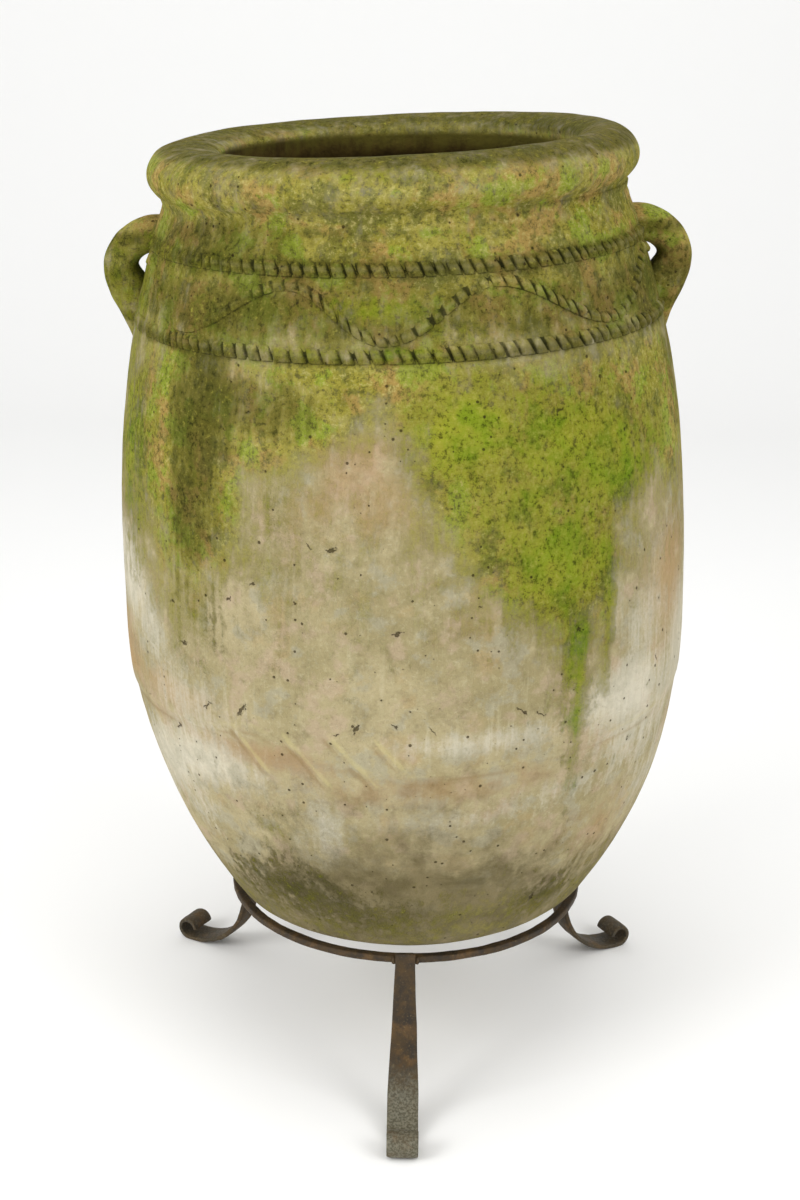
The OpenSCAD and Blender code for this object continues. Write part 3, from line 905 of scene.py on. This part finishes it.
def wave_phase(turn):
    """The waves were laid by eye, so in front they are not quite even."""
    full = 360 / wave_count
    true_turn = np.array([-180, -77, -50, -22.5, -2, 21, 50.5, 77, 180])
    even_turn = np.array(
        [-180, -1.5 * full, -full, -full / 2, 0, full / 2, full, 1.5 * full, 180]
    )
    around = (np.asarray(turn, float) + 180) % 360 - 180
    return wave_count * np.interp(around, true_turn, even_turn)


def wave_z(turn):
    """The height of the waved band."""
    return wave_middle_z - wave_height * np.cos(np.radians(wave_phase(turn)))


def wave_slope(turn):
    """How steeply the waved band climbs."""
    return (
        wave_height * wave_count * np.sin(np.radians(wave_phase(turn))) / wall_r(wave_z(turn))
    )


upper_band = rope("clay_upper_band", *level(upper_band_z), band_w, 4.8, 14.0, 4.6, 21, -25, -70)
settle(upper_band, "upper_rope_band")
lower_band = rope("clay_lower_band", *level(lower_band_z), band_w, 4.8, 14.0, 4.6, 31, -35, -75)
settle(lower_band, "lower_rope_band")
wave_band = rope("clay_wave_band", wave_z, wave_slope, wave_w, 5.0, 13.0, 3.4, 41, -5, -60)
settle(wave_band, "wave_rope_band")

# ---------------------------------------------------------------------------------------------
# The lugs: two short straps of clay, one on each side, bent into an ear over a small eye and
# thumbed down onto the wall, with a tail that dies away below.
lug_line = [
    (226, 917), (243, 918.5), (258, 919), (272, 913.5), (284, 903), (290, 889), (287.5, 875),
    (281, 864), (276, 850), (272, 834), (270, 819), (268, 804), (267, 790),
]  # fmt: skip
lug_thick = [36, 38, 37, 36, 35, 34, 37, 43, 39, 32, 26, 20, 12]
lug_wide = [68, 62, 55, 50, 47, 46, 47, 50, 52, 50, 46, 40, 30]


def lug_shape(side, seed):
    """The shape of one lug, for swept: its line is smoothed, and its section is a soft oblong."""

    def shape(u, v):
        station = u * (len(lug_line) - 1)
        smooth = np.linspace(0, len(lug_line) - 1, 400)
        knots = np.arange(len(lug_line))
        line_r = np.interp(smooth, knots, [p[0] for p in lug_line])
        line_z = np.interp(smooth, knots, [p[1] for p in lug_line])
        thick = np.interp(smooth, knots, lug_thick)
        wide = np.interp(smooth, knots, lug_wide)
        soft = np.exp(-(((np.arange(-60, 61)) / 22.0) ** 2))
        soft /= soft.sum()
        line_r, line_z, thick, wide = [
            np.convolve(np.pad(line, 60, "edge"), soft, "valid")
            for line in (line_r, line_z, thick, wide)
        ]
        step_r, step_z = np.gradient(line_r), np.gradient(line_z)
        length = np.hypot(step_r, step_z)
        at_r, at_z = np.interp(station, smooth, line_r), np.interp(station, smooth, line_z)
        norm_r = np.interp(station, smooth, -step_z / length)
        norm_z = np.interp(station, smooth, step_r / length)
        half_t = np.interp(station, smooth, thick) / 2
        half_w = np.interp(station, smooth, wide) / 2
        close = np.sqrt(np.clip(1 - np.abs(2 * u - 1) ** 24, 0, 1))
        angle = 2 * np.pi * v
        cross = np.sign(np.cos(angle)) * np.abs(np.cos(angle)) ** 0.72 * half_w * close
        depth = np.sign(np.sin(angle)) * np.abs(np.sin(angle)) ** 0.8 * half_t * close
        reach = at_r + norm_r * depth
        points = np.column_stack([side * reach, side * cross, at_z + norm_z * depth])
        middle = np.column_stack([side * at_r, 0 * at_r, at_z])
        rough = 1.4 * lumps(points, 42, seed) + 0.7 * lumps(points, 16, seed + 1)
        points += (points - middle) / np.maximum(half_w, 1)[:, None] * (rough * close)[:, None]
        return points, {}

    return shape


left_lug = swept("clay_left_lug", 150, 72, lug_shape(-1, 51))
settle(left_lug, "left_lug")
right_lug = swept("clay_right_lug", 150, 72, lug_shape(1, 61))
settle(right_lug, "right_lug")

# ---------------------------------------------------------------------------------------------
# The stand's ring: a hot-forged bar of wrought iron, bent round and welded shut, with hammer
# marks on its faces and a brown coat of rust.
ring_low, ring_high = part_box("support_ring")
ring_r = ring_high.x / MM
ring_z = ring_low.z / MM
ring_h = (ring_high.z - ring_low.z) / MM
ring_t = 10.0


def squared(half_x, half_y, turn, power):
    """A point of a rounded rectangle; a lower power has squarer corners."""
    c, s = np.cos(turn), np.sin(turn)
    return (
        half_x * np.sign(c) * np.abs(c) ** power,
        half_y * np.sign(s) * np.abs(s) ** power,
    )


ring_outline = []
for turn in np.linspace(0, 2 * math.pi, 41):
    across, up = squared(ring_t / 2, ring_h / 2, turn, 0.42)
    ring_outline.append((ring_r - ring_t / 2 + float(across), ring_z + ring_h / 2 + float(up)))
ring = turned("iron_ring", ring_outline, 600)
spots = points_of(ring)
radius = np.hypot(spots[:, 0], spots[:, 1])
away = np.column_stack([spots[:, 0], spots[:, 1], np.zeros(len(spots))]) / radius[:, None]
hammer = 0.5 * lumps(spots, 24, 71) + 0.3 * lumps(spots, 8, 72)
spots += away * (hammer * np.sign(radius - ring_r + ring_t / 2))[:, None]
spots[:, 2] += 0.5 * lumps(spots, 30, 73)
put_points(ring, spots)

# Rusted wrought iron: forged, then left outside, so that its metal is under a dry brown oxide
# with orange bloom and almost no shine. Low down it has grey-green lichen.
iron = bpy.data.materials.new("rusted wrought iron")
iron.use_nodes = True
tree = iron.node_tree
shader = tree.nodes["Principled BSDF"]
place = add(tree, "ShaderNodeTexCoord").outputs["Object"]
# Flakes of scale 14 mm across, orange bloom in patches of 30 mm, and grit of 2.5 mm.
flakes, bloom, grit = [
    add(
        tree, "ShaderNodeTexNoise",
        {"Vector": place, "Scale": 1 / (size * MM), "Detail": detail, "Roughness": rough},
    ).outputs[0]
    for size, detail, rough in [(14, 6, 0.7), (30, 5, 0.68), (2.5, 3, 0.6)]
]  # fmt: skip
rust = blend(tree, between(tree, flakes, 0.35, 0.65), linear("#2c2317"), linear("#4c3b22"))
rust = blend(tree, between(tree, bloom, 0.52, 0.7, 0, 0.65), rust, linear("#6b4f2a"))
rust = blend(tree, between(tree, grit, 0.58, 0.75, 0, 0.5), rust, linear("#857148"))
axes = add(tree, "ShaderNodeSeparateXYZ", {"Vector": place}).outputs
low_down = between(
    tree, sum_of(tree, axes["Z"], [(bloom, 0.09), (flakes, 0.05)]), 0.075, 0.01, 0, 0.8
)
in_front = between(tree, axes["Y"], -0.19, -0.25, 0.25, 1.0)
lichen_share = add(
    tree, "ShaderNodeMath", {0: low_down, 1: in_front}, operation="MULTIPLY"
).outputs[0]
lichen = blend(tree, between(tree, grit, 0.4, 0.6), linear("#56523f"), linear("#7d7a68"))
rust = blend(tree, lichen_share, rust, lichen)
pitted = add(
    tree, "ShaderNodeMath", {0: flakes, 1: 1.5, 2: grit}, operation="MULTIPLY_ADD"
).outputs[0]
bumps = add(tree, "ShaderNodeBump", {"Height": pitted, "Distance": 0.7 * MM, "Strength": 0.8})
tree.links.new(rust, shader.inputs["Base Color"])
tree.links.new(bumps.outputs["Normal"], shader.inputs["Normal"])
tree.links.new(between(tree, flakes, 0.3, 0.7, 0.6, 0.85), shader.inputs["Roughness"])
shader.inputs["Metallic"].default_value = 0.25


def stand_piece(piece, *nodes):
    """Gives a piece of the stand its rust, and lets it stay with the stand."""
    piece.data.materials.append(iron)
    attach(piece, "stand")
    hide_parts(*nodes)


stand_piece(ring, "support_ring")

# ---------------------------------------------------------------------------------------------
# The legs: three flat straps of the same iron, wider at the foot, bent out in a long sweep and
# rolled up at the tip into an open scroll that the stand rests on.
leg_low, leg_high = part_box("front_leg")
leg_t = 6.0
leg_foot_w = (leg_high.x - leg_low.x) / MM
leg_top_w = 22.0
leg_top_z = leg_high.z / MM
splay = math.radians(12)
bend_r = 40.0
sweep_r = 78.0
foot_flat = 6.0
scroll_r = 15.0
scroll_turn = math.radians(265)
leg_r = ring_r + leg_t / 2 - 0.3
bend_z = ring_z - 4
straight_r = leg_r + bend_r * (1 - math.cos(splay))
straight_z = bend_z - bend_r * math.sin(splay)
sweep_z = leg_t / 2 + sweep_r * (1 - math.sin(splay))
sweep_x = straight_r + (straight_z - sweep_z) * math.tan(splay) + sweep_r * math.cos(splay)
curl_r = scroll_r - leg_t / 2
leg_line = [(leg_r, z, -math.pi / 2) for z in np.linspace(leg_top_z, bend_z, 12)]
leg_line += [
    (leg_r + bend_r * (1 - math.cos(a)), bend_z - bend_r * math.sin(a), a - math.pi / 2)
    for a in np.linspace(0, splay, 8)[1:]
]
leg_line += [
    (straight_r + (straight_z - z) * math.tan(splay), z, splay - math.pi / 2)
    for z in np.linspace(straight_z, sweep_z, 26)[1:]
]
leg_line += [
    (sweep_x - sweep_r * math.cos(a), leg_t / 2 + sweep_r * (1 - math.sin(a)), a - math.pi / 2)
    for a in np.linspace(splay, math.pi / 2, 44)[1:]
]
leg_line += [
    (
        sweep_x + foot_flat + curl_r * (1 - 0.12 * a / scroll_turn) * math.sin(a),
        scroll_r - curl_r * math.cos(a) * (1 - 0.12 * a / scroll_turn),
        a,
    )
    for a in np.linspace(0, scroll_turn, 64)
]


def leg_shape(azimuth, seed):
    """The shape of one leg, for swept: flat bar with hammer dents, turned to its azimuth."""

    def shape(u, v):
        knots = np.linspace(0, 1, len(leg_line))
        ends = ramp(u, 0, 0.004) * ramp(u, 1, 0.996)
        out, up, heading = [np.interp(u, knots, [p[i] for p in leg_line]) for i in range(3)]
        width = np.interp(up, [2 * scroll_r, bend_z], [leg_foot_w, leg_top_w])
        side, thick = squared(width / 2 - 0.4, leg_t / 2, 2 * np.pi * v, 0.34)
        side, thick = side * ends, thick * ends
        points = np.column_stack(
            [side, -(out - thick * np.sin(heading)), up + thick * np.cos(heading)]
        )
        dents = 0.55 * lumps(points, 26, seed) + 0.3 * lumps(points, 8, seed + 1)
        shove = np.sign(thick) * np.minimum(np.abs(thick) / 2, 1) * dents
        points[:, 1] += shove * np.sin(heading)
        points[:, 2] += shove * np.cos(heading)
        points[:, 0] += 0.5 * lumps(points, 40, seed + 2) * ends
        points[:, 2] = np.maximum(points[:, 2], 0)
        c, s = math.cos(azimuth), math.sin(azimuth)
        x, y = points[:, 0].copy(), points[:, 1].copy()
        points[:, 0], points[:, 1] = c * x - s * y, s * x + c * y
        return points, {}

    return shape


for leg_name, leg_turn, leg_seed in [("front", 0, 81), ("right", 120, 91), ("left", -120, 101)]:
    leg = swept(f"iron_{leg_name}_leg", 320, 40, leg_shape(math.radians(leg_turn), leg_seed))
    stand_piece(leg, f"{leg_name}_leg")

# ---------------------------------------------------------------------------------------------
# The weld beads: a lumpy run of weld metal up each side of a leg, where it meets the ring. They
# hold the legs to the ring, and have rusted brown with them.
weld_r = 2.4
weld_sink = 0.8
weld_step = 1.8
bead_list = []
for leg_turn in (0, 120, 240):
    for side in (-1, 1):
        for step in range(4):
            bpy.ops.object.select_all(action="DESELECT")
            bpy.ops.mesh.primitive_uv_sphere_add(
                segments=24, ring_count=16, radius=weld_r * MM, location=(0, 0, 0)
            )
            bead = bpy.context.object
            spots = points_of(bead)
            spots *= 1 + 0.16 * lumps(spots, 1.6, 111 + 7 * step + side)[:, None]
            spots[:, 2] *= 0.75
            spots += (
                side * (leg_top_w / 2 + weld_r / 2),
                -(ring_r + weld_r / 2 - weld_sink),
                ring_z + 1.4 + step * weld_step,
            )
            put_points(bead, spots)
            bead.data.transform(Matrix.Rotation(math.radians(leg_turn), 4, "Z"))
            bead_list.append(bead)
bpy.ops.object.select_all(action="DESELECT")
for bead in bead_list:
    bead.select_set(True)
bpy.context.view_layer.objects.active = bead_list[0]
bpy.ops.object.join()
beads = bead_list[0]
beads.name = "iron_weld_beads"
bpy.ops.object.shade_smooth()
stand_piece(beads, "weld_beads")
